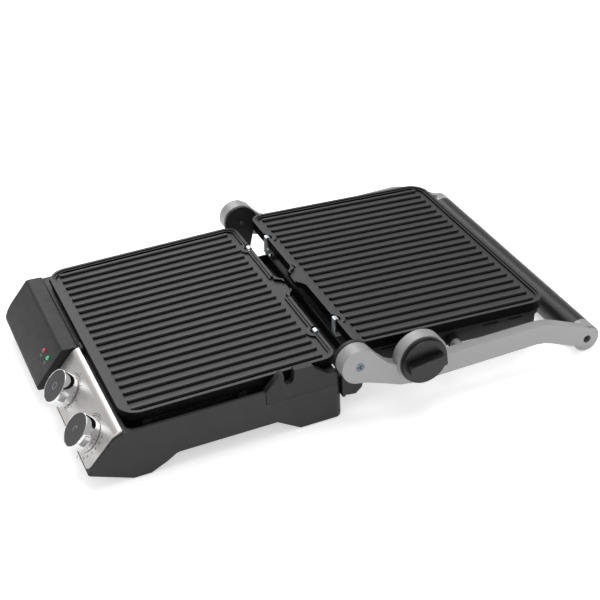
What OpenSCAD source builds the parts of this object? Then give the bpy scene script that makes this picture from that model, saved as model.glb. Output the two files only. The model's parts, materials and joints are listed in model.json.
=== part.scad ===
// Panini press with two removable ribbed plates, laid open flat.
// Frame: X to the user's right, Y from the control panel to the handle, Z up.
// Origin: on the table, at the middle of the front foot strip.

/* [Base] */
// Width of the base over its side walls
body_w = 320; // [316:1:326]
// Height of the base's top deck above the table
deck_z = 57.5; // [56:0.5:58]
// Wall thickness of the moulded housings
wall = 3; // [2:0.5:3.5]
// Clear height of the arch between the feet
arch_z = 16.5; // [14:0.5:18]

/* [Plates] */
// Width of each grill plate
plate_w = 300; // [296:1:302]
// Depth of each grill plate, from the hinge edge to the far edge
plate_d = 228; // [226:1:230]
// Height of a plate's skirt
plate_h = 10.7; // [9:0.1:11]
// Number of ribs on a plate
rib_count = 21; // [11:2:21]
// Distance between ribs
rib_pitch = 13.8; // [12:0.1:13.8]
// Height of the lower plate's rim above the table
rim_z = 69.5; // [69:0.1:70]

/* [Hinge] */
// Distance of the hinge axis behind the origin
hinge_y = 230; // [229:0.5:231]
// Height of the hinge axis
hinge_z = 68.5; // [68:0.1:69]
// Slope of the upper plate when the press lies open
open_tilt = 3.27; // [3:0.01:3.5]
// Radius of the arms' hinge bosses
hinge_r = 19.5; // [18:0.5:20]

/* [Arms and handle] */
// Outer face of each arm, from the middle of the press
arm_x = 177.5; // [177:0.5:178]
// Thickness of an arm
arm_t = 12; // [11:0.5:12]
// Radius of the round handle
handle_r = 15.5; // [14:0.5:15.5]
// Distance of the handle's axis behind the origin
handle_y = 503; // [500:1:506]
// Radius of the height selector's ring
selector_r = 28; // [27:0.5:28]

/* [Controls] */
// Radius of the timer and thermostat knobs
knob_r = 18.6; // [17:0.1:18.8]
// Height of those knobs over the panel
knob_h = 17.5; // [14:0.5:20]
// Angle of the control panel's face from level
panel_tilt = 47; // [47:1:47]

/* [Hidden] */
$fn = 48;
eps = 0.01;
fit = 0.05;   // running clearance of a pin in its hole, on the radius
gap = 0.4;    // clearance between faces of parts that move

lower_edge_y = 218.3;   // hinge edge of the lower plate
upper_edge_y = 238.7;   // hinge edge of the upper plate, press open
upper_edge_z = 77.4;
body_rear_y = 217.5;
hook_x = 96;            // spring hooks hold the plates at their hinge edges
notch_r = 7;
floor_z = -3.4;         // cooking surface below a plate's rim
rib_h = 2.6;
rib_front = 12.5;
rib_end = 216;
housing_depth = 55;     // from the upper plate's rim to the outside of its cover
unit_y = 10;            // the upper housing is set back this far from the hinge edge
frame_depth = 32;       // of which the black frame ends here
pivot_d = 24.8;         // the upper unit's pivots lie this far below its rim
selector_y = 299.5;
selector_z = 57.5;
knob_y = -39.3;         // a control knob's foot on the panel
knob_z = 37.9;
timer_x = 41;
thermostat_x = 121.5;
rest_x = 151.8;         // inner face of the bracket that the cam rests on
rest_z = 41.8;          // its lower edge on the side wall
trough_left = -86;
trough_right = 136;
trough_y0 = 220;
trough_y1 = 236;
tray_y0 = 171;
tray_y1 = 234;
pan_z = 45.2;           // floor of the pan under the lower plate
pan_y0 = -8.5;
pan_y1 = 206;
foot_z = 1;             // underside of the moulded feet, above the rubber's
cover_x = 152.6;
cord_x = 70;
cord_z = 34;
sleeve_x = -108;
sleeve_z = 51;
sleeve_r = 4;
power_x = -33;
ready_x = -17.2;
lamp_tilt = 48.9;       // slope of the indicator cover's face
latch_x = 4;
shaft_r = 3;
cap_r = 17.4;
lamp_r = 2.6;
bracket_x0 = 156;
bracket_x1 = 160.5;
boss_x0 = 161;
hinge_pin_r = 5;
rivet_r = 2.3;
ring_x = 180;           // outer face of the selector's ring
selector_pin_r = 5;
cam_x0 = 153.5;
cam_x1 = 162;
grip_tilt = 6;
grip_x = 157;           // the grip ends here and the arms' sockets begin
core_r = 8;
screw_hole_r = 4.5;
pivot_r = 4;
pivot_x0 = 141;
frame_boss_x = 155;     // end of the upper frame's pivot bosses

// ---------------------------------------------------------------- helpers

// Points on an arc about (cy, cz), from angle a to angle b in n steps
function arc(cy, cz, r, a, b, n = 6) =
    [for (i = [0:n]) [cy + r * cos(a + (b - a) * i / n), cz + r * sin(a + (b - a) * i / n)]];

// An outline drawn in (Y, Z), extruded from x0 to x1
module along_x(x0, x1)
    translate([x0, 0, 0]) rotate([90, 0, 90]) linear_extrude(x1 - x0) children();

// An outline drawn in (X, Z), extruded from y0 to y1
module along_y(y0, y1)
    translate([0, y1, 0]) rotate([90, 0, 0]) linear_extrude(y1 - y0) children();

// A rod along X
module rod_x(x0, x1, y, z, r)
    translate([x0, y, z]) rotate([0, 90, 0]) cylinder(r = r, h = x1 - x0);

module box(x0, x1, y0, y1, z0, z1)
    translate([x0, y0, z0]) cube([x1 - x0, y1 - y0, z1 - z0]);

module both_sides() {
    children();
    mirror([1, 0, 0]) children();
}

// Rectangle with round corners of radius r0 at its low-Y side and r1 at the other
module round_rect(x0, x1, y0, y1, r0, r1) {
    translate([x0, y0 + r0]) square([x1 - x0, y1 - y0 - r0 - r1]);
    translate([x0 + r0, y0]) square([x1 - x0 - 2 * r0, r0 + eps]);
    translate([x0 + r1, y1 - r1 - eps]) square([x1 - x0 - 2 * r1, r1 + eps]);
    for (x = [x0 + r0, x1 - r0]) translate([x, y0 + r0]) circle(r0);
    for (x = [x0 + r1, x1 - r1]) translate([x, y1 - r1]) circle(r1);
}

// ---------------------------------------------------------------- places

// Plate coordinates: y runs from the hinge edge to the far edge, z = 0 at the rim
module at_lower_plate() translate([0, lower_edge_y, rim_z]) rotate([0, 0, 180]) children();
module at_upper_plate()
    translate([0, upper_edge_y, upper_edge_z]) rotate([-open_tilt, 0, 0]) children();

// Panel coordinates: z stands out of the panel's face at a knob's foot
module at_panel(x) translate([x, knob_y, knob_z]) rotate([panel_tilt, 0, 0]) children();

// The upper unit's pivot is under the middle of its plate
module at_pivot(x0) at_upper_plate() translate([x0, plate_d / 2 - 1, -pivot_d])
    rotate([0, 90, 0]) children();

// ---------------------------------------------------------------- plates

module plate_outline(inset)
    round_rect(-plate_w / 2 + inset, plate_w / 2 - inset, inset, plate_d - inset,
               14 - inset, 21 - inset);

// The grease spout at the middle of the hinge edge, open at its tip
module spout_outline(inset)
    polygon(concat(
        [[-27 + 0.6 * inset, 1], [-20 + 0.8 * inset, -1.2 + inset]],
        arc(-12 + inset / 2, -4 + inset / 2, 3, 190, 270, 4),
        arc(12 - inset / 2, -4 + inset / 2, 3, 270, 350, 4),
        [[20 - 0.8 * inset, -1.2 + inset], [27 - 0.6 * inset, 1]],
        inset > 0 ? [[20, 8], [-20, 8]] : []));

module rib(x)
    intersection() {
        translate([x, 0, floor_z - eps]) along_y(rib_front, rib_end)
            polygon([[-3.7, 0], [-2.7, 1.7], [-1.6, rib_h], [1.6, rib_h], [2.7, 1.7],
                     [3.7, 0]]);
        translate([0, 0, floor_z - 1]) linear_extrude(rib_h + 2) {
            translate([x - 3.7, rib_front + 3.7]) square([7.4, rib_end - rib_front - 7.4]);
            translate([x, rib_front + 3.7]) circle(3.7);
            translate([x, rib_end - 3.7]) circle(3.7);
        }
    }

module grill_plate() {
    base_t = 3;
    difference() {
        union() {
            translate([0, 0, -plate_h]) linear_extrude(plate_h) plate_outline(0);
            translate([0, 0, -7]) linear_extrude(7) spout_outline(0);
            for (x = [-hook_x, hook_x]) translate([x, 2, -plate_h])
                cylinder(r = notch_r + 3, h = plate_h - 1.3);
        }
        // Two steps down from the rim to the cooking surface
        translate([0, 0, -1.3]) linear_extrude(2) plate_outline(3.2);
        difference() {
            translate([0, 0, floor_z]) linear_extrude(5) plate_outline(5.6);
            for (x = [-hook_x, hook_x]) translate([x, 2, floor_z - 1])
                cylinder(r = notch_r + 3, h = 3.1);
        }
        translate([0, 0, floor_z]) linear_extrude(5) spout_outline(3.4);
        translate([0, 0, floor_z]) linear_extrude(5)
            translate([-8.5, -10]) square([17, 20]);
        // Hollow underside
        difference() {
            translate([0, 0, -plate_h - 1])
                linear_extrude(plate_h + 1 + floor_z - base_t) plate_outline(3.5);
            for (x = [-hook_x, hook_x]) translate([x, 2, -plate_h - 2])
                cylinder(r = notch_r + 3, h = plate_h);
        }
        // Notches for the spring hooks
        for (x = [-hook_x, hook_x]) translate([x, 0, -plate_h - 1])
            cylinder(r = notch_r, h = plate_h + 2);
        // Trim the notch walls flush with the hinge edge
        for (x = [-hook_x, hook_x])
            box(x - 12, x + 12, -12, 0, -plate_h - 1, 1);
    }
    for (i = [0:rib_count - 1]) rib((i - (rib_count - 1) / 2) * rib_pitch);
}

module lower_plate() color("#47474a") at_lower_plate() grill_plate();
module upper_plate() color("#47474a") at_upper_plate() grill_plate();

// A zinc hook in each notch: an upright spring with its tip bent over
module plate_hook(x)
    translate([x, 0, 0]) {
        box(-3.5, 3.5, -1.2, 0, -22, -1.6);
        along_x(-3.5, 3.5)
            polygon([[-1.2, -1.6], [-1.2, -0.6], [0.6, 0.4], [3.6, -0.4], [4.4, -2],
                     [3.4, -2.4], [0.8, -1.2], [0, -1.6]]);
        box(-3.5, 3.5, 0, 13, -22, -20.8);
    }

module plate_hooks() for (x = [-hook_x, hook_x]) plate_hook(x);

// A tubular element bent into a long U with its two ends turned down
module heater() {
    r = 3.6;
    y = 68;
    z = -17.5;
    for (x = [-95, -45, 45, 95]) translate([x, y, z]) rotate([-90, 0, 0])
        cylinder(r = r, h = 170 - y);
    for (x = [-70, 70]) translate([x, 170, z]) rotate_extrude(angle = 180)
        translate([25, 0]) circle(r);
    translate([0, y, z]) rotate([0, 0, 180]) rotate_extrude(angle = 180)
        translate([45, 0]) circle(r);
    for (x = [-95, 95]) translate([x, y, z]) sphere(r);
    for (x = [-95, 95]) translate([x, y, z - 14]) cylinder(r = r, h = 14);
}

// A shallow tray of aluminised steel behind the element
module reflector()
    difference() {
        translate([0, 0, -24.2]) linear_extrude(3)
            round_rect(-134, 134, 17, 204, 10, 10);
        translate([0, 0, -23.4]) linear_extrude(4)
            round_rect(-133.2, 133.2, 17.8, 203.2, 9.2, 9.2);
        for (x = [-95, 95]) translate([x, 68, -30]) cylinder(r = 5, h = 12);
    }

// ---------------------------------------------------------------- base

// Nose line of the base under the panel, from the deck down to its lower corner
nose = concat([[-13.5, deck_z], [-24.2, 52.9]], arc(-51.2, 20.8, 2.15, 137, 245, 4));

base_side = concat(
    [[-9, foot_z], [9, foot_z], [26, 9], [37, arch_z - 0.7], [41, arch_z],
     [144.6, arch_z], [169.5, foot_z], [212.5, foot_z]],
    arc(212.5, 6, 5, -90, 0, 4),
    arc(204.5, deck_z - 13, 13, 0, 90, 6),
    nose);

base_inside = [[-9, 4], [8, 4], [26, 12.4], [38, arch_z + wall], [146, arch_z + wall],
    [168, 4], [body_rear_y - wall, 4], [body_rear_y - wall, pan_z - wall],
    [pan_y0 - wall, pan_z - wall], [pan_y0 - wall, deck_z - wall],
    [-14.5, deck_z - wall], [-22.2, 50.2], [-47.6, 23]];

module cover_screw_places()
    for (x = [-148, 148]) for (y = [52, 134]) translate([x, y, 0]) children();

module base_shell() color("#3f3f41") {
    half = body_w / 2;
    difference() {
        intersection() {
            along_x(-half, half) polygon(base_side);
            translate([0, 0, -1]) linear_extrude(80)
                round_rect(-half, half, -56, body_rear_y, 6, 9);
        }
        // Inside, with four screw posts and a ledge under the arm rest left standing
        difference() {
            along_x(-half + wall, half - wall) polygon(base_inside);
            cover_screw_places() cylinder(r = 4.5, h = 60);
            box(rest_x - 3, half, 130, 220, 38.6, 50);
        }
        // Opening for the bottom cover
        box(-cover_x, cover_x, 42, 144, 10, arch_z + wall + 1);
        cover_screw_places() translate([0, 0, 10]) cylinder(r = 1.55, h = 22);
        // Open pan under the lower plate
        translate([0, 0, pan_z]) linear_extrude(20)
            round_rect(-half + 3.5, half - 3.5, pan_y0, pan_y1, 8, 8);
        for (x = [-95, 95]) translate([x, lower_edge_y - 68, pan_z - wall - 1])
            cylinder(r = 5, h = wall + 2);
        // Shaft holes behind the panel
        for (x = [timer_x, thermostat_x]) at_panel(x) translate([0, 0, -8])
            cylinder(r = 5, h = 12);
        // Cord inlet and wiring passage in the rear wall
        translate([cord_x, body_rear_y - 5, cord_z]) rotate([-90, 0, 0])
            cylinder(r = 6, h = 10);
        at_sleeve() translate([0, 0, -6]) cylinder(r = 4.8, h = 26);
        // Opening for the drip tray
        box(-91, 91, body_rear_y - 6, body_rear_y + 2, 4, 16);
        // Windows for the plate hooks, the latch and the arm rest
        for (x = [-hook_x, hook_x]) box(x - 5, x + 5, pan_y1 - 1, 219, 47.4, deck_z + 1);
        box(latch_x - 6, latch_x + 6, -13.4, -10.8, 40, deck_z + 1);
        box(rest_x - 0.2, half + 1, 134, body_rear_y + 1, rest_z, deck_z + 1);
        // Seats of the rubber feet
        feet(foot_z, 2);
    }
    // Pads that carry the lower plate
    for (x = [-148, 148]) for (y = [10, 110, 199])
        box(x - 2, x + 2, y, y + 8, pan_z - eps, rim_z - plate_h - 0.1);
}

// Rubber feet between two levels: a strip across the front, a pad at each rear corner
module feet(z0, z1) {
    box(-150, 150, -7, 7, z0, z1);
    for (x = [-130, 130]) box(x - 19, x + 19, 173, 209, z0, z1);
}

module rubber_feet() color("#1c1c1d") feet(0, 2);

module bottom_cover() color("#3a3a3c")
    difference() {
        box(-cover_x + 0.2, cover_x - 0.2, 42.2, 143.8, arch_z, arch_z + 2);
        cover_screw_places() cylinder(r = 1.9, h = 30);
        // Cooling slots
        for (x = [-80:20:80]) box(x - 2, x + 2, 66, 118, arch_z - 1, arch_z + 3);
    }

module pan_screw(length) {
    translate([0, 0, -1.5]) cylinder(r = 2.9, h = 1.5);
    translate([0, 0, -eps]) cylinder(r = 1.5, h = length);
}

module base_screws() color("#8d8f92")
    cover_screw_places() translate([0, 0, arch_z]) difference() {
        pan_screw(12);
        for (a = [0, 90]) rotate(a) translate([-2, -0.3, -1.6]) cube([4, 0.6, 0.8]);
    }

// Brushed steel sheet over the nose, rolled over at the top
module control_panel() color("#d8d5d3")
    difference() {
        intersection() {
            along_x(0.5, 157.5) polygon(concat(
                [[-13.5, deck_z + eps]],
                arc(-13.58, 47.13, 13, 90, 137, 8),
                [[-53, 23.93], [-52.08, 23.08], [-24.2, 52.95]]));
            at_panel(0) translate([0, 0, -20]) linear_extrude(40)
                round_rect(0.5, 157.5, -19.7, 60, 7, 0.5);
        }
        for (x = [timer_x, thermostat_x]) at_panel(x) translate([0, 0, -5])
            cylinder(r = 4.5, h = 10);
    }

// Hollow black cover over the other half of the nose, with the two lamps
module indicator_cover() color("#4e4e50") {
    inside = [[-18, 57.4], [-29, 58.1], [-33.2, 55.8], [-61.2, 24.1], [-60.2, 20.8],
              [-54.5, 20.4], [-45, 24], [-20, 50]];
    difference() {
        intersection() {
            along_x(-body_w / 2, -2) polygon(concat(
                [[-13.6, 57.7], [-15.2, 59.5]],
                arc(-29.42, 54.34, 6, 86.6, 138.9, 5),
                arc(-60.1, 22.2, 4, 139, 240, 4),
                [[-53.4, 18.2]],
                arc(-51.2, 20.8, 2.3, 240, 137, 4),
                [[-24.3, 53.1]]));
            cover_corner(11);
        }
        intersection() {
            along_x(-body_w / 2 + 2.2, -4.2) difference() {
                polygon(inside);
                polygon(concat([[-13.5, 57.6], [-24.25, 53.05]],
                               arc(-51.2, 20.8, 2.25, 137, 245, 4), [[-10, 10]]));
            }
            cover_corner(8.8);
        }
        for (x = [power_x, ready_x]) at_lamp(x) translate([0, 0, -6])
            cylinder(r = lamp_r + 0.05, h = 8);
    }
}

// Plan of the cover with its outer front corner rounded to radius r
module cover_corner(r)
    linear_extrude(80) polygon(concat([[0, 0], [0, -53.1 - r]],
        arc(-body_w / 2 + 11, -53.1, r, 270, 180, 6),
        [[-body_w / 2 + 11 - r, 0]]));

// Lamp coordinates: z stands out of the cover's slanted face
module at_lamp(x) translate([x, -45.2, 45.4]) rotate([lamp_tilt, 0, 0]) children();

module lamp(x) at_lamp(x) {
    translate([0, 0, -5]) cylinder(r = lamp_r, h = 5);
    intersection() {
        translate([0, 0, -0.8]) sphere(r = lamp_r + 0.1);
        translate([0, 0, -eps]) cylinder(r = lamp_r, h = 2);
    }
}

module power_lamp() color("#a03030") lamp(power_x);
module ready_lamp() color("#2e9a5a") lamp(ready_x);

// Switch body clamped behind the nose, with a shaft out through the panel
module switch_unit(length) {
    translate([0, 0, -4.15 - length]) cylinder(r = 11, h = length);
    translate([0, 0, -6.65]) cylinder(r = 12, h = 2.5);
    translate([0, 0, -4.2]) cylinder(r = shaft_r, h = 13.2);
    for (x = [-6, 6]) translate([x - 0.5, -3, -8.15 - length]) cube([1, 6, 4.2]);
}

module timer_unit() color("#b9b4a6") at_panel(timer_x) switch_unit(14);
module thermostat_unit() color("#c9c5bb") at_panel(thermostat_x) switch_unit(11);

module lower_heater() color("#4a4036") at_lower_plate() heater();
module lower_reflector() color("#b8babd") at_lower_plate() reflector();
module lower_plate_hooks() color("#d9dcde") at_lower_plate() plate_hooks();

// Black wedge on the right side: its notch takes the height cam when the press closes
module arm_rest_bracket() color("#444446")
    intersection() {
        along_x(rest_x, body_w / 2) polygon(concat(
            [[134.7, rest_z + 0.2], [134.7, 56.9], [148, 70.1], [150.4, 72.6],
             [153.9, 73.6], [154.8, 70.1]],
            arc(159.8, 64.2, 5.2, 180, 360, 6),
            [[166.4, 73.9], [185.9, 74.1], [188.6, 68.8], [202.9, 58.1]],
            arc(209.5, 49.6, 8, 90, 0, 4),
            [[body_rear_y, rest_z + 0.2]]));
        translate([0, 0, 30]) linear_extrude(60)
            round_rect(-body_w / 2, body_w / 2, -56, body_rear_y, 6, 9);
    }

// Side bracket on the rear wall: a disc round the hinge pin and a lug below it
module hinge_bracket() {
    difference() {
        union() {
            along_x(bracket_x0, bracket_x1) {
                translate([hinge_y, hinge_z]) circle(20);
                polygon([[body_rear_y, 26], [232, 24], [239, 30], [246, 58],
                         [hinge_y, 62], [body_rear_y, 54]]);
            }
            box(147, bracket_x1, body_rear_y, body_rear_y + 3, 24, 46);
        }
        rod_x(bracket_x0 - 1, bracket_x1 + 1, hinge_y, hinge_z, rivet_r);
        rod_x(bracket_x0 + 1.5, bracket_x1 + 1, hinge_y, hinge_z, hinge_pin_r);
        for (z = [30, 40]) translate([151, body_rear_y - 1, z]) rotate([-90, 0, 0])
            cylinder(r = 1.6, h = 6);
    }
    for (z = [30, 40]) translate([151, body_rear_y + 3, z]) rotate([-90, 0, 0])
        cylinder(r = 2.8, h = 1.2);
}

module hinge_bracket_right() color("#2b2b2d") hinge_bracket();
module hinge_bracket_left() color("#2b2b2d") mirror([1, 0, 0]) hinge_bracket();

// Pin riveted in the bracket, with a cross recess in its outer end
module hinge_pin()
    difference() {
        union() {
            rod_x(bracket_x0 - 1.2, bracket_x0 + 2, hinge_y, hinge_z, rivet_r);
            rod_x(bracket_x0 + 1.5, arm_x - 0.2, hinge_y, hinge_z, hinge_pin_r);
        }
        for (a = [20, 110]) translate([arm_x, hinge_y, hinge_z]) rotate([a, 0, 0])
            translate([-1.6, -3, -0.6]) cube([3, 6, 1.2]);
    }

module hinge_pin_right() color("#6e7276") hinge_pin();
module hinge_pin_left() color("#6e7276") mirror([1, 0, 0]) hinge_pin();

// Channel between the plates that leads fat down to the tray
module drip_trough() color("#28282a") {
    difference() {
        box(trough_left, trough_right, trough_y0, trough_y1, 46, 60);
        box(trough_left + 2, trough_right - 2, trough_y0 + 2, trough_y1 - 2, 48, 61);
        translate([16, trough_y1 - 8, 40]) cylinder(r = 4.5, h = 12);
    }
    translate([16, trough_y1 - 8, 0]) difference() {
        translate([0, 0, 18]) cylinder(r = 6, h = 28 + eps);
        translate([0, 0, 17]) cylinder(r = 4.5, h = 32);
    }
    // Tabs screwed to the rear wall
    for (x = [-66, 112]) {
        box(x - 8, x + 8, body_rear_y, trough_y0 + eps, 40, 47.5);
        translate([x, trough_y0 - eps, 43]) rotate([-90, 0, 0]) cylinder(r = 2.4, h = 1.4);
    }
}

module drip_tray() color("#2d2d2f") {
    difference() {
        box(-89, 89, tray_y0, tray_y1, 4.4, 15);
        box(-87, 87, tray_y0 + 2, tray_y1 - 2, 6.4, 16);
    }
    // Lip to pull it by
    box(-30, 30, tray_y1 - eps, tray_y1 + 4, 12.5, 15);
}

module terminal_block() color("#e6e2d6")
    difference() {
        box(100, 132, 182, 198, 4, 18);
        for (x = [105, 113, 121]) translate([x + 1.5, 190, 8]) cylinder(r = 2, h = 12);
    }

// Flanged gland in the rear wall where the mains lead leaves
module cord_gland() color("#232324")
    translate([cord_x, body_rear_y, cord_z]) rotate([-90, 0, 0]) difference() {
        union() {
            translate([0, 0, -4]) cylinder(r = 5.9, h = 5);
            cylinder(r = 8.5, h = 2);
            translate([0, 0, 1]) cylinder(r = 6.2, h = 5.5);
        }
        translate([0, 0, -5]) cylinder(r = 3.4, h = 13);
    }

// Glass-fibre sleeve with the wires to the upper heater
module wiring_sleeve() color("#5a3028")
    at_sleeve() cylinder(r = sleeve_r, h = 52);

// Sleeve coordinates: z runs along it, from the pan's rear wall to the upper cover
module at_sleeve() translate([sleeve_x, 205, sleeve_z]) rotate([-106.1, 0, 0]) children();

// ---------------------------------------------------------------- controls

// Round knob scooped for the fingers, with a dark disc set in its face
module control_knob() {
    difference() {
        rotate_extrude() polygon(concat(
            [[shaft_r + fit, 0.35 + gap], [knob_r - 0.4, 0.35 + gap], [knob_r, 1.2]],
            arc(knob_r - 0.6, knob_h - 0.6, 0.6, 0, 90, 3),
            [[cap_r + 0.05, knob_h], [cap_r + 0.05, knob_h - 1.6],
             [shaft_r + fit, knob_h - 1.6]]));
        // Finger scoops on two sides
        for (a = [0, 180]) rotate(a) translate([knob_r + 6.2, 0, 7.6])
            cylinder(r = 9.5, h = knob_h - 10.6);
    }
}

module knob_cap() translate([0, 0, knob_h - 1.6]) cylinder(r = cap_r, h = 1.3);

module timer_knob() color("#d4d4d6") at_panel(timer_x) control_knob();
module timer_knob_cap() color("#4a4a4c") at_panel(timer_x) knob_cap();
module thermostat_knob() color("#d4d4d6") at_panel(thermostat_x) control_knob();
module thermostat_knob_cap() color("#4a4a4c") at_panel(thermostat_x) knob_cap();

// Tab pressed down to free the plate, with a foot that keeps it in its slot
module latch_tab() {
    box(latch_x - 5.5, latch_x + 5.5, -13.2, -11, 51, 65);
    box(latch_x - 5.5, latch_x + 5.5, -11.1, -10.1, 61.4, 63.2);
    box(latch_x - 8.5, latch_x + 8.5, -14.2, -11.8, 51, 54.2);
}

module lower_latch() color("#2a2a2c") latch_tab();

// The upper plate's latch is the same piece at the far edge of the upper unit
module upper_latch() color("#2a2a2c") at_upper_plate()
    translate([0, lower_edge_y, -rim_z]) mirror([0, 1, 0]) latch_tab();

// ---------------------------------------------------------------- arms

// Side view of an arm from its hinge boss to the handle
arm_top = [[244.3, 82.7], [252, 73], [262, 63], [275, 56], [290, 53], [326, 52.5],
    [440, 53.4], [447, 52.6], [456.7, 50], [466, 46.2], [508.2, 28]];
arm_bottom = [[496, 4.6], [495.2, 8.3], [462.4, 23.6], [455, 26.8], [446, 29.8],
    [436, 31.2], [300, 29], [291, 29.5], [275.7, 31.8], [259.4, 38.5], [238, 46.8],
    [222.5, 50.5]];

module arm() {
    difference() {
        union() {
            intersection() {
                along_x(arm_x - arm_t, arm_x) union() {
                    polygon(concat(arm_top, [[503, 15.5]], arm_bottom,
                                   [[hinge_y, hinge_z]]));
                }
                // The bar narrows outside towards the handle
                linear_extrude(100) polygon([[100, 200], [arm_x, 200], [arm_x, 470],
                    [arm_x - 1, 482], [arm_x - 3.5, 499], [arm_x - 3.5, 520],
                    [100, 520]]);
            }
            rod_x(boss_x0, arm_x, hinge_y, hinge_z, hinge_r);
            rod_x(grip_x, arm_x - 5, handle_y, handle_r, handle_r);
            rod_x(arm_x - 5 - eps, arm_x - 3.5, handle_y, handle_r, handle_r - 1.4);
        }
        rod_x(boss_x0 - 1, arm_x + 1, hinge_y, hinge_z, hinge_pin_r + fit);
        at_pivot(arm_x - arm_t - 1) cylinder(r = pivot_r, h = arm_t - 2);
        // Stepped hole for the handle screw
        rod_x(grip_x - 1, arm_x, handle_y, handle_r, 2.6);
        rod_x(grip_x + 4, arm_x, handle_y, handle_r, screw_hole_r);
    }
}

module arm_left() color("#a8a8a8") mirror([1, 0, 0]) arm();

// The right arm also carries the ring of the height selector
module arm_right() color("#a8a8a8")
    difference() {
        union() {
            arm();
            rod_x(arm_x - arm_t + 0.5, ring_x, selector_y, selector_z, selector_r);
        }
        rod_x(arm_x - arm_t - 1, ring_x + 1, selector_y, selector_z, selector_pin_r + fit);
    }

// Black tube round a steel core, screwed to both arms
module handle_grip() color("#2c2c2e")
    difference() {
        rod_x(-grip_x, grip_x, handle_y, handle_r, handle_r);
        rod_x(-grip_x - 1, grip_x + 1, handle_y, handle_r, core_r);
    }

module handle_core() color("#9a9da0")
    difference() {
        rod_x(-grip_x, grip_x, handle_y, handle_r, core_r);
        for (x = [-grip_x - 1, grip_x - 16]) rod_x(x, x + 17, handle_y, handle_r, 2.5);
    }

module handle_screws() color("#6e7276")
    both_sides() {
        rod_x(grip_x - 14, grip_x + 4, handle_y, handle_r, 2.45);
        difference() {
            rod_x(grip_x + 4, grip_x + 6.6, handle_y, handle_r, screw_hole_r - 0.2);
            rod_x(grip_x + 5, grip_x + 8, handle_y, handle_r, 1.6);
        }
    }

// Fixed in the arm; the upper unit swings on its inner end
module pivot_pin() {
    at_pivot(pivot_x0) cylinder(r = pivot_r, h = arm_x - 3 - pivot_x0);
    at_pivot(frame_boss_x + gap) cylinder(r = 6.2, h = arm_x - arm_t - frame_boss_x - gap);
}

module pivot_pin_right() color("#b0b2b4") pivot_pin();
module pivot_pin_left() color("#b0b2b4") mirror([1, 0, 0]) pivot_pin();

// Black knob outside the right arm that sets how far the press closes
module height_knob() color("#252527")
    translate([0, selector_y, selector_z]) difference() {
        union() {
            rod_x(ring_x + gap, ring_x + 3, 0, 0, 26);
            rod_x(ring_x + 2.9, ring_x + 5.6, 0, 0, 25);
            rotate([grip_tilt, 0, 0]) along_x(ring_x + 5, ring_x + 15) polygon(
                [[-20.5, -4.2], [-19.2, -5.7], [0, -6.7], [19.2, -5.7], [20.5, -4.2],
                 [20.5, 4.2], [19.2, 5.7], [0, 6.7], [-19.2, 5.7], [-20.5, 4.2]]);
        }
        rod_x(ring_x, ring_x + 5, 0, 0, selector_pin_r);
    }

module height_cam() color("#2a2a2c")
    translate([0, selector_y, selector_z]) {
        rod_x(cam_x1 - eps, ring_x + 5, 0, 0, selector_pin_r);
        rod_x(cam_x0, cam_x1, 0, 0, 7.4);
        along_x(cam_x0, cam_x1) union() {
            translate([-17.5, -4.5]) square([35, 9]);
            for (y = [-17.5, 17.5]) translate([y, 0]) circle(4.5);
        }
    }

// ---------------------------------------------------------------- upper unit

// Plan of the upper housing, set back from the plate's hinge edge, shrunk by s
module unit_outline(s)
    round_rect(-plate_w / 2 + 2 + s, plate_w / 2 - 2 - s, unit_y + s, plate_d - 2 - s,
               20 - s, 19 - s);

module frame_pivot()
    translate([137, plate_d / 2 - 1, -pivot_d]) rotate([0, 90, 0]) children();

module upper_frame() color("#2e2e30") at_upper_plate() {
    top = -plate_h - 0.7;
    difference() {
        union() {
            translate([0, 0, -18]) linear_extrude(18 + top) unit_outline(0);
            translate([0, 0, -frame_depth]) linear_extrude(frame_depth - 17)
                unit_outline(2.5);
            both_sides() frame_pivot() cylinder(r = 7, h = frame_boss_x - 137);
            // Apron that hides the cover's edge behind the trough
            box(-101, 126, unit_y + 0.5, unit_y + 2.7, -31.9, -17.5);
            box(-101, 126, unit_y + 0.5, unit_y + 2.3, -44, -31.8);
            // Block that guides the latch
            box(latch_x - 11, latch_x + 11, 221, 234.5, -24, -12);
        }
        both_sides() frame_pivot() translate([0, 0, -1]) cylinder(r = pivot_r + fit, h = 30);
        difference() {
            translate([0, 0, -frame_depth - 1])
                linear_extrude(frame_depth + top - wall + 1) unit_outline(5.5);
            both_sides() frame_pivot() cylinder(r = 7, h = 30);
        }
        translate([0, 0, -20]) linear_extrude(20)
            round_rect(-139, 139, unit_y + 5.5, plate_d - 15, 12, 10);
        // Slots for the hooks' feet and for the latch
        for (x = [-hook_x, hook_x]) box(x - 4, x + 4, 8, 18, -22.4, -20.4);
        box(latch_x - 6, latch_x + 6, 229.1, 231.7, -30, 0);
        box(latch_x - 9, latch_x + 9, 228.8, 232.8, -30, -15);
        // Shallow vents along the sides
        for (y = [30, 60, 150, 180]) box(-149, 149, y, y + 18, -16.5, -14.8);
    }
    // Pads that carry the upper plate
    both_sides() for (y = [32, 110, 190])
        box(143, 148, y, y + 8, top - eps, -plate_h - 0.1);
    // Posts for the cover screws
    frame_screw_places() difference() {
        translate([0, 0, -frame_depth]) cylinder(r = 5, h = frame_depth + top - 1);
        translate([0, 0, -frame_depth - 1]) cylinder(r = 1.55, h = 14);
    }
}

module frame_screw_places()
    for (x = [-139.5, 139.5]) for (y = [46, plate_d - 24]) translate([x, y, 0]) children();

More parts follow.
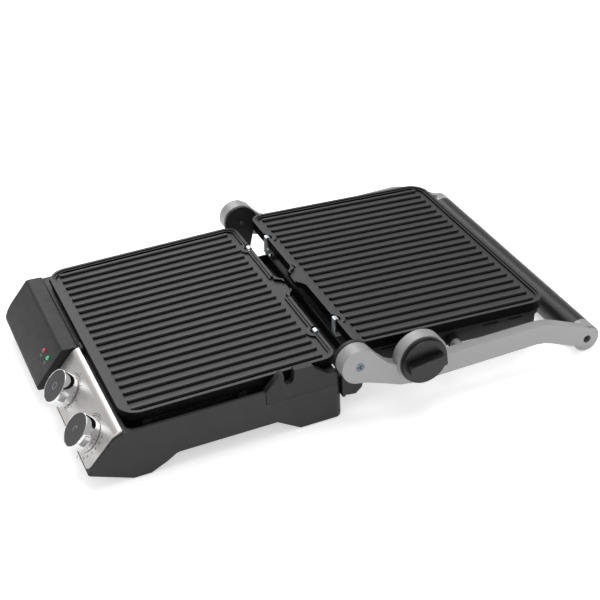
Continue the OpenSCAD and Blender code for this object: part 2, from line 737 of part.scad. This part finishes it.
// Body of the outer cover, shrunk by s, with its two long edges rolled
module cover_body(s, z_top) {
    r = 14;
    intersection() {
        along_x(-160, 160) polygon(concat([[unit_y + 2.5 + s, z_top]],
            arc(unit_y + 2.5 + r, -housing_depth + r, r - s, 180, 270, 6),
            arc(plate_d - 4.5 - r, -housing_depth + r, r - s, 270, 360, 6),
            [[plate_d - 4.5 - s, z_top]]));
        along_y(-10, plate_d + 10) polygon(concat([[-145.5 + s, z_top]],
            arc(-145.5 + r, -housing_depth + r, r - s, 180, 270, 6),
            arc(145.5 - r, -housing_depth + r, r - s, 270, 360, 6),
            [[145.5 - s, z_top]]));
        translate([0, 0, -80]) linear_extrude(80) unit_outline(2.5 + s);
    }
}

// Brushed steel outer cover, on top when the press is closed
module upper_cover() color("#c4c4c6") at_upper_plate()
    difference() {
        union() {
            difference() {
                cover_body(0, -frame_depth);
                cover_body(1.4, -frame_depth + 1);
            }
            frame_screw_places() translate([0, 0, -housing_depth + 1]) cylinder(r = 5, h = 22);
        }
        frame_screw_places() translate([0, 0, -60]) cylinder(r = 1.9, h = 40);
        frame_screw_places() translate([0, 0, -60]) cylinder(r = 3.4, h = 20);
        // Notch for the wires
        translate([sleeve_x, 5, -38.2]) rotate([-90, 0, 0]) cylinder(r = 5.2, h = 14);
        box(sleeve_x - 5.2, sleeve_x + 5.2, 5, 19, -38.2, -30);
    }

module upper_cover_screws() color("#8d8f92") at_upper_plate()
    frame_screw_places() translate([0, 0, -40]) {
        translate([0, 0, -2]) cylinder(r = 3.1, h = 2);
        translate([0, 0, -eps]) cylinder(r = 1.5, h = 20);
    }

module upper_heater() color("#4a4036") at_upper_plate() heater();
module upper_reflector() color("#b8babd") at_upper_plate() reflector();
module upper_plate_hooks() color("#d9dcde") at_upper_plate() plate_hooks();

// ---------------------------------------------------------------- assembly

base_shell();
bottom_cover();
control_panel();
indicator_cover();
power_lamp();
ready_lamp();
timer_unit();
thermostat_unit();
lower_heater();
lower_reflector();
lower_plate_hooks();
arm_rest_bracket();
hinge_bracket_left();
hinge_bracket_right();
hinge_pin_left();
hinge_pin_right();
drip_trough();
drip_tray();
rubber_feet();
base_screws();
terminal_block();
cord_gland();
wiring_sleeve();
lower_plate();
lower_latch();
timer_knob();
timer_knob_cap();
thermostat_knob();
thermostat_knob_cap();
arm_left();
arm_right();
handle_grip();
handle_core();
handle_screws();
pivot_pin_left();
pivot_pin_right();
height_knob();
height_cam();
upper_frame();
upper_cover();
upper_heater();
upper_reflector();
upper_plate_hooks();
upper_cover_screws();
upper_plate();
upper_latch();
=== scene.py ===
"""Looks of the panini press around its CAD frame.

Materials and rounded edges for the CAD pieces, the printed marks, the braided
sleeve, and the camera and studio.
"""
import json
import math

import bmesh
import bpy
from mathutils import Matrix, Vector


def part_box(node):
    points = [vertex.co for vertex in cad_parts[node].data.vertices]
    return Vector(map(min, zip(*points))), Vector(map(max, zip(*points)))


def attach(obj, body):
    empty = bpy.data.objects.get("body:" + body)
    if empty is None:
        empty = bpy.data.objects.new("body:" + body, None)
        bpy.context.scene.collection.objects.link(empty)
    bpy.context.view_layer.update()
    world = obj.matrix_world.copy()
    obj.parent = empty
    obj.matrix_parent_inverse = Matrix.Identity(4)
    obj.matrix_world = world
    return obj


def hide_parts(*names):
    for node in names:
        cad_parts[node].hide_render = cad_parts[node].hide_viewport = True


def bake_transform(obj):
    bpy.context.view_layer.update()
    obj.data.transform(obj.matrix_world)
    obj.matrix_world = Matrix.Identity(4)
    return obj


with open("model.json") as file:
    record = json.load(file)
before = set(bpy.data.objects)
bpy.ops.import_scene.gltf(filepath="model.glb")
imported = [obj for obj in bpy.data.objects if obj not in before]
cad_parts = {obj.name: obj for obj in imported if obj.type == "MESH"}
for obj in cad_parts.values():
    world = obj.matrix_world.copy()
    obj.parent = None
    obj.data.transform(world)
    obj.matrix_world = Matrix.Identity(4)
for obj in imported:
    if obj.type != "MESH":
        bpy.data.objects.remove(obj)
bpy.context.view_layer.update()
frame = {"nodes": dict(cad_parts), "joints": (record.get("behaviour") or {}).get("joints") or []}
NODES = frame["nodes"]
JOINTS = {joint["name"]: joint for joint in frame["joints"]}
MM = 0.001
RIGHT = Vector((1, 0, 0))
UP = Vector((0, 0, 1))


# ---------------------------------------------------------------- materials

# Sockets of a Mix node set to colours, whose names repeat for each kind of data
MIX_FACTOR, MIX_FIRST, MIX_SECOND, MIX_RESULT = 0, 6, 7, 2


def rgb(code):
    """Linear colour from a hex code, by the sRGB curve."""
    parts = [int(code[i:i + 2], 16) / 255 for i in (1, 3, 5)]
    linear = [p / 12.92 if p <= 0.04045 else ((p + 0.055) / 1.055) ** 2.4 for p in parts]
    return (*linear, 1.0)


class Paint:
    """A node material built up step by step. Lengths are in millimetres on the object."""

    def __init__(self, name, metallic=0.0, ior=1.45):
        self.material = bpy.data.materials.new(name)
        self.material.use_nodes = True
        self.nodes = self.material.node_tree.nodes
        self.links = self.material.node_tree.links
        self.shader = self.nodes["Principled BSDF"]
        self.shader.inputs["Metallic"].default_value = metallic
        self.shader.inputs["IOR"].default_value = ior
        self.place = self.nodes.new("ShaderNodeTexCoord").outputs["Object"]
        self.normal = None

    def stretched(self, factors):
        """Object coordinates scaled by one factor per axis, which draws a pattern out."""
        mapping = self.nodes.new("ShaderNodeMapping")
        mapping.inputs["Scale"].default_value = factors
        self.links.new(self.place, mapping.inputs["Vector"])
        return mapping.outputs["Vector"]

    def noise(self, size, detail=3.0, stretch=(1, 1, 1), roughness=0.5):
        """Noise with features of about the given size."""
        node = self.nodes.new("ShaderNodeTexNoise")
        node.inputs["Scale"].default_value = 1 / (size * MM)
        node.inputs["Detail"].default_value = detail
        node.inputs["Roughness"].default_value = roughness
        self.links.new(self.stretched(stretch), node.inputs["Vector"])
        return node.outputs["Fac"]

    def ramp(self, source, low, high, start=0.3, end=0.7):
        """Low where the source is at start, high where it is at end."""
        node = self.nodes.new("ShaderNodeMapRange")
        for socket, value in zip(("From Min", "From Max", "To Min", "To Max"),
                                 (start, end, low, high)):
            node.inputs[socket].default_value = value
        self.links.new(source, node.inputs["Value"])
        return node.outputs["Result"]

    def facing_up(self, start, end):
        """1 where a face looks up, 0 where it is steep."""
        split = self.nodes.new("ShaderNodeSeparateXYZ")
        self.links.new(self.nodes.new("ShaderNodeNewGeometry").outputs["Normal"],
                       split.inputs["Vector"])
        return self.ramp(split.outputs["Z"], 0, 1, start, end)

    def mix(self, source, first, second):
        """First colour where the source is 0, second where it is 1."""
        node = self.nodes.new("ShaderNodeMix")
        node.data_type = "RGBA"
        for socket, value in ((MIX_FIRST, first), (MIX_SECOND, second)):
            if isinstance(value, tuple):
                node.inputs[socket].default_value = value
            else:
                self.links.new(value, node.inputs[socket])
        self.links.new(source, node.inputs[MIX_FACTOR])
        return node.outputs[MIX_RESULT]

    def color(self, first, second, source):
        """Base colour, mixed by the source."""
        self.links.new(self.mix(source, first, second), self.shader.inputs["Base Color"])

    def rough(self, low, high, source):
        """Roughness, spread by the source."""
        self.links.new(self.ramp(source, low, high), self.shader.inputs["Roughness"])

    def bump(self, source, height):
        """Relief of the given height, over any relief set before."""
        node = self.nodes.new("ShaderNodeBump")
        node.inputs["Distance"].default_value = height * MM
        node.inputs["Strength"].default_value = 1.0
        self.links.new(source, node.inputs["Height"])
        if self.normal:
            self.links.new(self.normal, node.inputs["Normal"])
        self.normal = node.outputs["Normal"]
        self.links.new(self.normal, self.shader.inputs["Normal"])

    def set(self, **sockets):
        """Plain values of the shader, with _ for a space in a socket's name."""
        for name, value in sockets.items():
            self.shader.inputs[name.replace("_", " ")].default_value = value
        return self


def moulded(name, code, light_code, roughness, grain=0.35, depth=0.02, specular=0.5):
    """Moulded plastic: fine spark texture, with faint patches in colour and sheen."""
    paint = Paint(name)
    patches = paint.noise(size=45, detail=2)
    paint.color(rgb(code), rgb(light_code), paint.ramp(patches, low=0, high=1))
    paint.rough(roughness - 0.05, roughness + 0.05, paint.noise(size=9, detail=4))
    paint.bump(paint.noise(size=grain, detail=2), depth)
    return paint.set(Specular_IOR_Level=specular).material


def coated(name, code, light_code, painted_shade_code):
    """Non-stick coating on a casting: orange peel and flecks, with painted shade on steep faces.
    """
    paint = Paint(name)
    flecks = paint.ramp(paint.noise(size=0.5, detail=2), low=0, high=1,
                        start=0.62, end=0.72)
    patches = paint.mix(paint.ramp(paint.noise(size=60, detail=3), low=0, high=1),
                        rgb(code), rgb(light_code))
    # Painted shade: steep faces, such as the plate skirts, are mixed towards a near-black shade
    # colour and given little sheen, standing in for the deep shade that falls on them
    upward = paint.facing_up(start=0.6, end=0.97)
    steep = paint.mix(upward, rgb(painted_shade_code), patches)
    paint.links.new(paint.ramp(upward, low=0.06, high=0.5, start=0, end=1),
                    paint.shader.inputs["Specular IOR Level"])
    paint.color(steep, rgb("#5c5c5e"), paint.ramp(flecks, low=0, high=0.3, start=0, end=1))
    paint.rough(0.42, 0.54, paint.noise(size=2.2, detail=3))
    paint.bump(paint.noise(size=1.4, detail=3), height=0.03)
    paint.bump(paint.noise(size=0.3, detail=2), height=0.012)
    return paint.material


def lacquered(name, code, light_code):
    """Fine silver lacquer over a casting, with a soft metallic grain."""
    paint = Paint(name, metallic=0.35)
    paint.color(rgb(code), rgb(light_code),
                paint.ramp(paint.noise(size=0.45, detail=3), low=0, high=1))
    paint.rough(0.40, 0.50, paint.noise(size=3, detail=3))
    paint.bump(paint.noise(size=0.8, detail=3), height=0.012)
    return paint.set(Specular_IOR_Level=0.5).material


def brushed(name, code, light_code, along, low=0.28, high=0.42):
    """Brushed sheet: hair lines drawn out along one axis."""
    stretch = tuple(0.012 if axis == along else 1.0 for axis in "XYZ")
    paint = Paint(name, metallic=0.9)
    hair = paint.noise(size=0.25, detail=4, stretch=stretch, roughness=0.65)
    paint.color(rgb(code), rgb(light_code), paint.ramp(hair, low=0, high=1))
    paint.rough(low, high, hair)
    paint.bump(hair, height=0.006)
    return paint.material


def plated(name, code, light_code, low, high, metallic=1.0):
    """Zinc, satin or bright chrome plating, or bare steel, with faint cloudiness."""
    paint = Paint(name, metallic)
    paint.color(rgb(code), rgb(light_code),
                paint.ramp(paint.noise(size=6, detail=2), low=0, high=1))
    paint.rough(low, high, paint.noise(size=14, detail=2))
    return paint.material


def lens(name, code, glow_code, strength):
    """Tinted lamp lens with a faint glow."""
    paint = Paint(name, ior=1.49)
    paint.color(rgb(code), rgb(glow_code),
                paint.ramp(paint.noise(size=1.6, detail=2), low=0, high=1))
    paint.rough(0.12, 0.2, paint.noise(size=2, detail=2))
    return paint.set(Emission_Color=rgb(glow_code), Emission_Strength=strength).material


def woven(name, code, light_code):
    """Glass-fibre yarn of the braided sleeve."""
    paint = Paint(name)
    paint.color(rgb(code), rgb(light_code),
                paint.ramp(paint.noise(size=0.5, detail=3), low=0, high=1))
    paint.rough(0.75, 0.9, paint.noise(size=0.8, detail=2))
    paint.bump(paint.noise(size=0.3, detail=3), height=0.08)
    return paint.material


BODY = moulded("body_plastic", "#222223", "#272728", 0.45, 0.5, 0.012, 0.4)
COVER = moulded("cover_plastic", "#2b2b2d", "#303032", 0.44, 0.3, 0.006, 0.2)
TRIM = moulded("trim_plastic", "#1b1b1c", "#222224", 0.45, specular=0.4)
# Painted shade: a darker, duller copy of the trim plastic for the drip trough, which lies in the
# shade of the hinge gap
SHADED_TRIM = moulded("trim_plastic_painted_shade", "#0e0e0f", "#131314", 0.6, specular=0.25)
GRIP = moulded("grip_black", "#161618", "#1c1c1e", 0.36, 0.4, 0.008)
SELECTOR = moulded("selector_black", "#141416", "#1a1a1c", 0.38, 0.35, 0.008)
FACE = moulded("knob_face", "#3a3a3c", "#404042", 0.5, 0.25, 0.006, 0.4)
RUBBER = moulded("foot_rubber", "#161617", "#1f1f20", 0.8, 0.8, 0.05, 0.3)
SWITCH = moulded("switch_body", "#b9b4a6", "#cfcabc", 0.5)
# The last colour is painted shade: near black, for the plates' steep faces
PLATE = coated("plate_coating", "#2b2b2c", "#313132", "#050506")
SILVER = lacquered("arm_silver", "#949495", "#a0a0a1")
PANEL = brushed("panel_steel", "#c9c6c4", "#dedbd9", "X")
LID = brushed("cover_steel", "#b2b2b4", "#cacacc", "X", 0.3, 0.46)
CORE = brushed("core_metal", "#8e9194", "#a6a9ac", "X")
ZINC = plated("zinc_steel", "#c0c6ca", "#d6dbde", 0.25, 0.35, 0.6)
CHROME = plated("knob_chrome", "#cfcfd1", "#dededf", 0.07, 0.11)
PIN = plated("pin_steel", "#5d666d", "#7b858c", 0.3, 0.42)
SHEATH = plated("heater_sheath", "#4a4036", "#6a5a4a", 0.35, 0.5)
SHEET = brushed("reflector_sheet", "#aeb0b3", "#c4c6c9", "Y", 0.3, 0.4)
RED = lens("lamp_red", "#7e2020", "#c04040", 0.25)
GREEN = lens("lamp_green", "#1f7a45", "#3fc07a", 0.35)
YARN = woven("sleeve_braid", "#4a2820", "#7c4232")
INK = moulded("print_dark", "#2a2a2c", "#343436", 0.6, 0.3, 0.004)
PALE_INK = moulded("print_pale", "#8c8c8f", "#98989b", 0.6, 0.3, 0.004)


# ---------------------------------------------------------------- the CAD pieces

EDGE_ANGLE = math.radians(32)
EDGE_SEGMENTS = 2
WELD_DISTANCE = 0.002 * MM

# The CAD nodes by finish, each with the rounding of its edges in millimetres
FINISHES = {
    BODY: {"base_shell": 0.7, "bottom_cover": 0.4},
    COVER: {"indicator_cover": 0.35},
    TRIM: {"arm_rest_bracket": 0.6, "hinge_bracket_left": 0.6, "hinge_bracket_right": 0.6,
           "upper_frame": 0.4, "lower_latch": 0.4, "upper_latch": 0.4, "height_cam": 0.5,
           "cord_gland": 0.4, "drip_tray": 0.5},
    # The drip trough takes the darker copy of the trim plastic, which is painted shade
    SHADED_TRIM: {"drip_trough": 0.4},
    GRIP: {"handle_grip": 0.5},
    SELECTOR: {"height_knob": 0.7},
    FACE: {"timer_knob_cap": 0.15, "thermostat_knob_cap": 0.15},
    RUBBER: {"rubber_feet": 0.4},
    SWITCH: {"timer_unit": 0.3, "thermostat_unit": 0.3, "terminal_block": 0.4},
    PLATE: {"lower_plate": 0.45, "upper_plate": 0.45},
    SILVER: {"arm_left": 1.0, "arm_right": 1.0, "pivot_pin_left": 0.4,
             "pivot_pin_right": 0.4},
    PANEL: {"control_panel": 0.25},
    LID: {"upper_cover": 0.4},
    CORE: {"handle_core": 0},
    ZINC: {"lower_plate_hooks": 0.25, "upper_plate_hooks": 0.25, "base_screws": 0.2,
           "upper_cover_screws": 0.2},
    CHROME: {"timer_knob": 0.3, "thermostat_knob": 0.3},
    PIN: {"hinge_pin_left": 0.2, "hinge_pin_right": 0.2, "handle_screws": 0.2},
    SHEATH: {"lower_heater": 0, "upper_heater": 0},
    SHEET: {"lower_reflector": 0.2, "upper_reflector": 0.2},
    RED: {"power_lamp": 0.1},
    GREEN: {"ready_lamp": 0.1},
}


def dress(node, material, width):
    """Gives a CAD node its material and rounds its edges by width millimetres."""
    piece = NODES[node]
    piece.data.materials.clear()
    piece.data.materials.append(material)
    custom = piece.data.attributes.get("custom_normal")
    if custom:
        piece.data.attributes.remove(custom)
    piece.data.shade_smooth()
    weld = piece.modifiers.new("weld", "WELD")
    weld.merge_threshold = WELD_DISTANCE
    if width:
        bevel = piece.modifiers.new("edges", "BEVEL")
        bevel.width = width * MM
        bevel.segments = EDGE_SEGMENTS
        bevel.limit_method = "ANGLE"
        bevel.angle_limit = EDGE_ANGLE
        bevel.use_clamp_overlap = True
        bevel.harden_normals = True
        bevel.miter_outer = "MITER_ARC"
    else:
        split = piece.modifiers.new("edges", "EDGE_SPLIT")
        split.split_angle = EDGE_ANGLE


for finish, widths in FINISHES.items():
    for name, rounding in widths.items():
        dress(name, finish, rounding)


# ---------------------------------------------------------------- added pieces

# Printed lines: width, height above the surface, and how much of a line's width
# is left at its top
LINE_WIDTH = 0.7 * MM
INK_HEIGHT = 0.06 * MM
TOP_SHARE = 0.8

# Heights over the foot of a knob: the panel's face and the face of the knob's cap
PANEL_FACE = 0.5 * MM
CAP_FACE = 17.22 * MM
ICON_RADIUS = 3.6

# Scale round each knob, in degrees and millimetres: its joint, the angles of the
# ticks, their inner and outer radius and width, and arcs as (radius, start, end, steps)
DIALS = (
    ("thermostat_turn", range(-74, 32, 15), 22.6, 25.6, 1.1,
     ((20.4, 84, 150, 14), (22.4, 96, 138, 14), (20.4, 196, 240, 14))),
    ("timer_turn", range(-30, 110, 20), 22.2, 24.4, 0.8,
     ((20.6, -40, 118, 36),)),
)

# The slanted face of the indicator cover, in degrees, and the line through its lamps
COVER_SLOPE = 48.9
LAMP_Y, LAMP_Z = -45.2, 45.4
# Dashes under each lamp, as place along the slope and half length in millimetres
LAMP_DASHES = ((-5.6, 2.6), (-7.4, 1.7))
DASH_HEIGHT = 0.05 * MM
DASH_LIFT = 0.02 * MM


def add_piece(name, mesh, material, body):
    """Links a finished bmesh as a piece, which rides on a body if one is named."""
    data = bpy.data.meshes.new(name)
    mesh.to_mesh(data)
    mesh.free()
    data.shade_smooth()
    piece = bpy.data.objects.new(name, data)
    bpy.context.scene.collection.objects.link(piece)
    piece.data.materials.append(material)
    if body:
        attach(piece, body)
    return piece


def ribbon(mesh, points, width, height, plane, closed=False):
    """A raised line with sloping sides along points in a plane."""
    rows = []
    count = len(points)
    for i, point in enumerate(points):
        before = points[i - 1] if i or closed else point
        after = points[(i + 1) % count] if i < count - 1 or closed else point
        way = (after - before).normalized()
        side = Vector((-way.y, way.x)) * width / 2
        section = ((side, 0), (side * TOP_SHARE, height),
                   (-side * TOP_SHARE, height), (-side, 0))
        rows.append([mesh.verts.new(plane @ Vector((point.x + s.x, point.y + s.y, z)))
                     for s, z in section])
    following = rows[1:] + rows[:1] if closed else rows[1:]
    for a, b in zip(rows, following):
        for k in range(4):
            mesh.faces.new((a[k], b[k], b[(k + 1) % 4], a[(k + 1) % 4]))
    if not closed:
        mesh.faces.new(rows[0])
        mesh.faces.new(rows[-1][::-1])


def stroke(mesh, start, end, width, height, plane):
    """A straight raised line."""
    ribbon(mesh, [Vector(start), Vector(end)], width, height, plane)


def arc_points(radius, start, end, steps):
    """Points on an arc, from a radius in millimetres and angles in degrees."""
    angles = [math.radians(start + (end - start) * i / steps) for i in range(steps + 1)]
    return [radius * Vector((math.cos(a), math.sin(a))) * MM for a in angles]


def axes(right, up, out):
    """The rotation that turns x, y and z into three directions."""
    return Matrix((right, up, out)).transposed().to_4x4()


def on_panel(knob_joint, lift):
    """Plane across a knob's axis: x to the right, y up the slope, z out of the panel.

    It lies at the given lift above the knob's foot.
    """
    out = -Vector(JOINTS["timer_turn"]["axis"])
    place = Vector(JOINTS[knob_joint]["pos_m"]) + out * lift
    return Matrix.Translation(place) @ axes(RIGHT, out.cross(RIGHT), out)


def build_dial_marks():
    """Dark printed arcs and ticks round the two knobs."""
    mesh = bmesh.new()
    for joint, ticks, inner, outer, width, arcs in DIALS:
        plane = on_panel(joint, PANEL_FACE)
        for degrees in ticks:
            angle = math.radians(degrees)
            way = Vector((math.cos(angle), math.sin(angle)))
            stroke(mesh, way * inner * MM, way * outer * MM, width * MM, INK_HEIGHT, plane)
        for arc in arcs:
            ribbon(mesh, arc_points(*arc), LINE_WIDTH, INK_HEIGHT, plane)
    add_piece("dial_marks", mesh, INK, "base")


def build_lamp_marks():
    """Short pale dashes on the cover under each lamp."""
    mesh = bmesh.new()
    slope = math.radians(COVER_SLOPE)
    up = Vector((0, math.cos(slope), math.sin(slope)))
    out = Vector((0, -math.sin(slope), math.cos(slope)))
    turn = axes(RIGHT, up, out)
    for node in ("power_lamp", "ready_lamp"):
        low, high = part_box(node)
        lamp = Vector(((low.x + high.x) / 2, LAMP_Y * MM, LAMP_Z * MM))
        plane = Matrix.Translation(lamp + out * DASH_LIFT) @ turn
        for row, half in LAMP_DASHES:
            stroke(mesh, (-half * MM, row * MM), (half * MM, row * MM), LINE_WIDTH,
                   DASH_HEIGHT, plane)
    add_piece("lamp_marks", mesh, PALE_INK, "base")


def build_knob_icons():
    """A ring on the timer's cap, a broken ring and a bar on the thermostat's."""
    mesh = bmesh.new()
    ribbon(mesh, arc_points(ICON_RADIUS, 0, 348, 28), LINE_WIDTH, INK_HEIGHT,
           on_panel("timer_turn", CAP_FACE), closed=True)
    add_piece("timer_icon", mesh, PALE_INK, "timer_knob")
    mesh = bmesh.new()
    plane = on_panel("thermostat_turn", CAP_FACE)
    ribbon(mesh, arc_points(ICON_RADIUS, 70, 250, 18), LINE_WIDTH, INK_HEIGHT, plane)
    stroke(mesh, (0.4 * MM, 1.4 * MM), (0.4 * MM, 4.2 * MM), LINE_WIDTH, INK_HEIGHT, plane)
    add_piece("thermostat_icon", mesh, PALE_INK, "thermostat_knob")


def build_braid():
    """Braided sleeve: two sets of yarns wound both ways round a sagging path."""
    rings, sides = 64, 48
    yarns, turns = 6, 9
    sag = 1.2 * MM
    slimmer, valley, crown = 0.9, 0.88, 0.1
    low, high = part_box("wiring_sleeve")
    x = (low.x + high.x) / 2
    radius = (high.x - low.x) / 2 * slimmer
    start = Vector((x, low.y + radius, high.z - radius))
    end = Vector((x, high.y - radius, low.z + radius))
    mesh = bmesh.new()
    rows = []
    for i in range(rings + 1):
        t = i / rings
        centre = start.lerp(end, t) - UP * (sag * math.sin(math.pi * t))
        slope = (end.z - start.z) - sag * math.pi * math.cos(math.pi * t)
        along = Vector((0, end.y - start.y, slope)).normalized()
        out = Vector((0, -along.z, along.y))
        row = []
        for k in range(sides):
            angle = 2 * math.pi * k / sides
            wave = max(math.sin(yarns * angle + turns * 2 * math.pi * t),
                       math.sin(yarns * angle - turns * 2 * math.pi * t))
            r = radius * (valley + crown * wave)
            row.append(mesh.verts.new(centre + RIGHT * r * math.cos(angle)
                                      + out * r * math.sin(angle)))
        rows.append(row)
    for a, b in zip(rows, rows[1:]):
        for k in range(sides):
            n = (k + 1) % sides
            mesh.faces.new((a[k], a[n], b[n], b[k]))
    mesh.faces.new(rows[0][::-1])
    mesh.faces.new(rows[-1])
    piece = add_piece("braided_sleeve", mesh, YARN, None)
    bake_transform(piece)
    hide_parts("wiring_sleeve")


build_dial_marks()
build_lamp_marks()
build_knob_icons()
build_braid()


# ---------------------------------------------------------------- camera and studio

def build_camera():
    """Three-quarter view from the right, the front and above."""
    azimuth, elevation, roll = (math.radians(a) for a in (68.63, 32.59, -3.24))
    target = Vector((36.37, 224.81, 69.5)) * MM
    distance = 1456.51
    back = Vector((math.sin(azimuth) * math.cos(elevation),
                   -math.cos(azimuth) * math.cos(elevation), math.sin(elevation)))
    right = UP.cross(back).normalized()
    up = back.cross(right)
    rolled_right = right * math.cos(roll) + up * math.sin(roll)
    rolled_up = up * math.cos(roll) - right * math.sin(roll)
    data = bpy.data.cameras.new("camera")
    data.sensor_width = 36
    data.lens = 80.76
    camera = bpy.data.objects.new("camera", data)
    camera.matrix_world = (Matrix.Translation(target + back * distance * MM)
                           @ axes(rolled_right, rolled_up, back))
    bpy.context.scene.collection.objects.link(camera)
    bpy.context.scene.camera = camera


def softbox(name, place, aim, size, power):
    """A rectangular white light at a place, turned towards a point."""
    data = bpy.data.lights.new(name, "AREA")
    data.shape = "RECTANGLE"
    data.size, data.size_y = size
    data.energy = power
    lamp = bpy.data.objects.new(name, data)
    lamp.location = place
    lamp.rotation_euler = (Vector(aim) - Vector(place)).to_track_quat("-Z", "Y").to_euler()
    bpy.context.scene.collection.objects.link(lamp)


def build_studio():
    """White floor and surroundings, with softboxes overhead, at the far side and in front."""
    floor_size, floor_drop = 14, 0.0004
    white = (1, 1, 1, 1)
    paint = Paint("studio_floor")
    paint.color(rgb("#f6f6f6"), rgb("#f9f9f9"),
                paint.ramp(paint.noise(size=400, detail=1), low=0, high=1))
    paint.rough(0.9, 0.95, paint.noise(size=300, detail=1))
    paint.set(Specular_IOR_Level=0.0, Emission_Color=white, Emission_Strength=0.52)
    bpy.ops.mesh.primitive_plane_add(size=floor_size, location=(0, 0.2, -floor_drop))
    floor = bpy.context.object
    floor.name = "studio_floor"
    floor.data.materials.append(paint.material)
    world = bpy.data.worlds.new("studio")
    world.use_nodes = True
    nodes, links = world.node_tree.nodes, world.node_tree.links
    nodes["Background"].inputs["Color"].default_value = white
    # The surroundings light the object less than they show to the camera
    seen = nodes.new("ShaderNodeMapRange")
    seen.inputs["To Min"].default_value = 0.55
    seen.inputs["To Max"].default_value = 1.0
    links.new(nodes.new("ShaderNodeLightPath").outputs["Is Camera Ray"], seen.inputs["Value"])
    links.new(seen.outputs["Result"], nodes["Background"].inputs["Strength"])
    bpy.context.scene.world = world
    centre = (0, 0.2, 0)
    softbox("overhead", (-0.45, 0.7, 1.9), centre, size=(1.9, 1.7), power=24)
    softbox("far side", (-2.3, 0.3, 1.5), centre, size=(1.6, 0.9), power=15)
    softbox("front", (0.3, -2.0, 0.7), centre, size=(1.4, 0.7), power=7)
    bpy.context.scene.view_settings.view_transform = "Standard"


build_camera()
build_studio()
